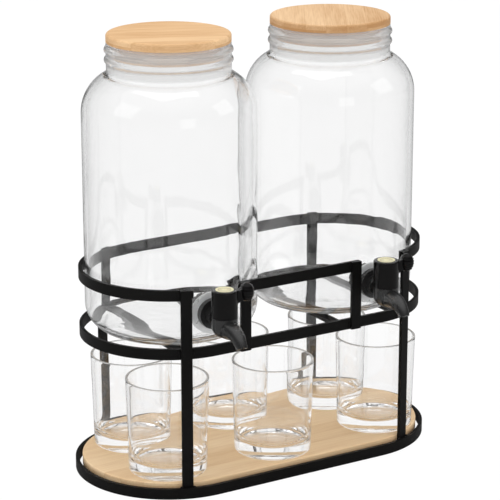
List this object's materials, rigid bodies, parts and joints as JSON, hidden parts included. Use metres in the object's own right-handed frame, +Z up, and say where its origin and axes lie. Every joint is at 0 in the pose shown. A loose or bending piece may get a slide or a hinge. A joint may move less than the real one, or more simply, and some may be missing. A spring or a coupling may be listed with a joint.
{
  "type": "cocktail dispenser",
  "caption": "Twin glass jar cocktail dispenser with taps, bamboo lids, black bar stand, bamboo board and six tumblers.",
  "frame": {"origin": "middle of the stand at the height of the surface it stands on", "axes": "+X along the stand from the left jar to the right jar, +Y away from the taps, +Z up"},
  "size_m": [0.3546, 0.2303, 0.4055],
  "materials": {
    "black_paint": "satin black paint",
    "bamboo": "sanded pale bamboo",
    "clear_glass": "clear and polished",
    "clear_silicone": "translucent silicone",
    "black_plastic": "glossy black",
    "gold_badge": "matt gold foil"
  },
  "bodies": {
    "stand": {"base_ring": "black_paint", "shelf_ring": "black_paint", "guard_rail_back": "black_paint", "guard_rail_front": "black_paint", "leg_front_left": "black_paint", "leg_front_right": "black_paint", "leg_back_left": "black_paint", "leg_back_right": "black_paint", "tap_post_left": "black_paint", "tap_post_right": "black_paint", "jar_bar_left_outer": "black_paint", "jar_bar_left_inner": "black_paint", "jar_bar_right_inner": "black_paint", "jar_bar_right_outer": "black_paint", "board_bar_left": "black_paint", "board_bar_middle": "black_paint", "board_bar_right": "black_paint", "tray_board": "bamboo"},
    "jar_left_set": {"jar_left": "clear_glass", "tap_washer_outer_left": "clear_silicone", "tap_washer_inner_left": "clear_silicone", "tap_nut_left": "black_plastic", "tap_body_left": "black_plastic"},
    "lid_left": {"lid_disc_left": "bamboo", "lid_plug_left": "bamboo", "lid_seal_left": "clear_silicone"},
    "tap_valve_left": {"tap_lever_left": "black_plastic", "tap_badge_left": "gold_badge", "tap_seal_left": "clear_silicone"},
    "jar_right_set": {"jar_right": "clear_glass", "tap_washer_outer_right": "clear_silicone", "tap_washer_inner_right": "clear_silicone", "tap_nut_right": "black_plastic", "tap_body_right": "black_plastic"},
    "lid_right": {"lid_disc_right": "bamboo", "lid_plug_right": "bamboo", "lid_seal_right": "clear_silicone"},
    "tap_valve_right": {"tap_lever_right": "black_plastic", "tap_badge_right": "gold_badge", "tap_seal_right": "clear_silicone"},
    "tumbler_front_left": {"tumbler_front_left": "clear_glass"},
    "tumbler_front_middle": {"tumbler_front_middle": "clear_glass"},
    "tumbler_front_right": {"tumbler_front_right": "clear_glass"},
    "tumbler_back_left": {"tumbler_back_left": "clear_glass"},
    "tumbler_back_middle": {"tumbler_back_middle": "clear_glass"},
    "tumbler_back_right": {"tumbler_back_right": "clear_glass"}
  },
  "joints": [
    {"name": "jar_left_lift", "type": "slide", "parent": "stand", "child": "jar_left_set", "axis": [0, 0, 1], "range_m": [0, 0.08]},
    {"name": "lid_left_lift", "type": "slide", "parent": "jar_left_set", "child": "lid_left", "axis": [0, 0, 1], "range_m": [0, 0.06]},
    {"name": "tap_left_turn", "type": "hinge", "parent": "jar_left_set", "child": "tap_valve_left", "pos_m": [-0.09344, -0.1053, 0.1697], "axis": [0, 0, 1], "range_deg": [-90, 0]},
    {"name": "jar_right_lift", "type": "slide", "parent": "stand", "child": "jar_right_set", "axis": [0, 0, 1], "range_m": [0, 0.08]},
    {"name": "lid_right_lift", "type": "slide", "parent": "jar_right_set", "child": "lid_right", "axis": [0, 0, 1], "range_m": [0, 0.06]},
    {"name": "tap_right_turn", "type": "hinge", "parent": "jar_right_set", "child": "tap_valve_right", "pos_m": [0.07706, -0.1053, 0.1697], "axis": [0, 0, 1], "range_deg": [-90, 0]},
    {"name": "tumbler_front_left_out", "type": "slide", "parent": "stand", "child": "tumbler_front_left", "axis": [-1, 0, 0], "range_m": [0, 0.14]},
    {"name": "tumbler_front_middle_out", "type": "slide", "parent": "stand", "child": "tumbler_front_middle", "axis": [0, -1, 0], "range_m": [0, 0.14]},
    {"name": "tumbler_front_right_out", "type": "slide", "parent": "stand", "child": "tumbler_front_right", "axis": [1, 0, 0], "range_m": [0, 0.14]},
    {"name": "tumbler_back_left_out", "type": "slide", "parent": "stand", "child": "tumbler_back_left", "axis": [-0.9979, -0.0653, 0], "range_m": [0, 0.108]},
    {"name": "tumbler_back_middle_out", "type": "slide", "parent": "stand", "child": "tumbler_back_middle", "axis": [0, 1, 0], "range_m": [0, 0.1]},
    {"name": "tumbler_back_right_out", "type": "slide", "parent": "stand", "child": "tumbler_back_right", "axis": [0.9979, -0.0653, 0], "range_m": [0, 0.108]}
  ]
}
